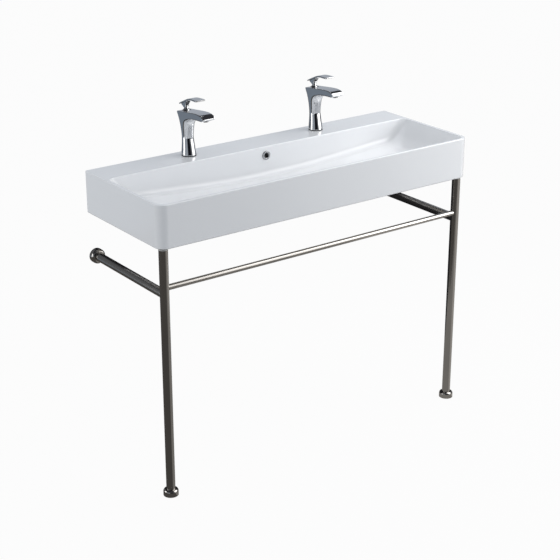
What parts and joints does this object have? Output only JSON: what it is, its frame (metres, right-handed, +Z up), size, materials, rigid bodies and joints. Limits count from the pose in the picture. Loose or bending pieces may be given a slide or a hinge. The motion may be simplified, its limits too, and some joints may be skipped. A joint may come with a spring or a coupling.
{
  "type": "console basin on bracket stand",
  "caption": "Long white ceramic console basin with lever mixers on its back deck, carried by a chrome leg-and-arm bracket stand with a front towel rail.",
  "frame": {"origin": "middle of the basin's footprint, on the floor", "axes": "+X to the right along the basin's length, +Y to the wall, +Z up"},
  "size_m": [1.08, 0.387, 1.0315],
  "materials": {
    "ceramic": "white gloss glaze",
    "chrome": "bright chrome plate on brass",
    "polished_steel": "polished stainless tube",
    "steel": "turned stainless steel",
    "brass": "plain machined brass",
    "rubber": "black moulded rubber",
    "plastic": "moulded acetal",
    "disc_ceramic": "lapped alumina",
    "index": "bright plated plastic button"
  },
  "bodies": {
    "frame": {"arm_spigots": "steel", "basin": "ceramic", "left_arm": "polished_steel", "left_cartridge_housing": "plastic", "left_leg": "polished_steel", "left_tap_body": "chrome", "left_wall_plate": "steel", "leg_foot_inserts": "plastic", "leg_top_pads": "rubber", "leg_top_plugs": "plastic", "overflow_ring": "chrome", "rail_spigots": "steel", "right_arm": "polished_steel", "right_cartridge_housing": "plastic", "right_leg": "polished_steel", "right_tap_body": "chrome", "right_wall_plate": "steel", "spigot_inserts": "steel", "stand_grub_screws": "steel", "tap_aerator_housings": "chrome", "tap_aerator_inserts": "plastic", "tap_base_gaskets": "rubber", "tap_cartridge_nuts": "brass", "tap_clamp_plates": "steel", "tap_clamp_washers": "rubber", "tap_fixed_discs": "disc_ceramic", "tap_fixing_nuts": "brass", "tap_fixing_studs": "steel", "towel_rail": "polished_steel", "waste_body": "chrome", "waste_cone_washer": "rubber", "waste_latch": "brass", "waste_lock_nut": "brass", "waste_seal": "rubber", "waste_tail": "brass"},
    "left_swivel": {"left_guide_sleeve": "plastic", "left_dome": "chrome", "left_pivot_pin": "steel"},
    "left_handle": {"left_spindle": "steel", "left_tap_lever": "chrome", "left_index_cap": "index", "left_lever_screw": "steel"},
    "left_disc": {"left_moving_disc": "disc_ceramic"},
    "left_foot_dome": {"left_foot_cover": "polished_steel"},
    "left_wall_dome": {"left_wall_cover": "polished_steel"},
    "left_foot": {"left_levelling_foot": "steel"},
    "right_swivel": {"right_guide_sleeve": "plastic", "right_dome": "chrome", "right_pivot_pin": "steel"},
    "right_handle": {"right_spindle": "steel", "right_tap_lever": "chrome", "right_index_cap": "index", "right_lever_screw": "steel"},
    "right_disc": {"right_moving_disc": "disc_ceramic"},
    "right_foot_dome": {"right_foot_cover": "polished_steel"},
    "right_wall_dome": {"right_wall_cover": "polished_steel"},
    "right_foot": {"right_levelling_foot": "steel"},
    "waste_plug": {"waste_plug_stem": "brass", "waste_plug_cap": "chrome", "waste_plug_seal": "rubber"}
  },
  "joints": [
    {"name": "left_temperature", "type": "hinge", "parent": "frame", "child": "left_swivel", "pos_m": [-0.228, 0.155, 0.983], "axis": [0, 0, 1], "range_deg": [-45, 45]},
    {"name": "left_flow", "type": "hinge", "parent": "left_swivel", "child": "left_handle", "pos_m": [-0.228, 0.155, 0.983], "axis": [-1, 0, 0], "range_deg": [0, 25]},
    {"name": "left_disc_travel", "type": "slide", "parent": "left_swivel", "child": "left_disc", "axis": [0, -1, 0], "range_m": [0, 0.0061]},
    {"name": "left_foot_cover_lift", "type": "slide", "parent": "frame", "child": "left_foot_dome", "axis": [0, 0, 1], "range_m": [0, 0.08]},
    {"name": "left_wall_cover_draw", "type": "slide", "parent": "frame", "child": "left_wall_dome", "axis": [0, -1, 0], "range_m": [0, 0.08]},
    {"name": "left_foot_levelling", "type": "slide", "parent": "frame", "child": "left_foot", "axis": [0, 0, -1], "range_m": [0, 0.015]},
    {"name": "right_temperature", "type": "hinge", "parent": "frame", "child": "right_swivel", "pos_m": [0.228, 0.155, 0.983], "axis": [0, 0, 1], "range_deg": [-45, 45]},
    {"name": "right_flow", "type": "hinge", "parent": "right_swivel", "child": "right_handle", "pos_m": [0.228, 0.155, 0.983], "axis": [-1, 0, 0], "range_deg": [0, 25]},
    {"name": "right_disc_travel", "type": "slide", "parent": "right_swivel", "child": "right_disc", "axis": [0, -1, 0], "range_m": [0, 0.0061]},
    {"name": "right_foot_cover_lift", "type": "slide", "parent": "frame", "child": "right_foot_dome", "axis": [0, 0, 1], "range_m": [0, 0.08]},
    {"name": "right_wall_cover_draw", "type": "slide", "parent": "frame", "child": "right_wall_dome", "axis": [0, -1, 0], "range_m": [0, 0.08]},
    {"name": "right_foot_levelling", "type": "slide", "parent": "frame", "child": "right_foot", "axis": [0, 0, -1], "range_m": [0, 0.015]},
    {"name": "waste_plug_lift", "type": "slide", "parent": "frame", "child": "waste_plug", "axis": [0, 0, 1], "range_m": [0, 0.01]}
  ],
  "couplings": [
    {"joint": "left_disc_travel", "follows": "left_flow", "m_per_rad": 0.013889},
    {"joint": "right_disc_travel", "follows": "right_flow", "m_per_rad": 0.013889}
  ]
}
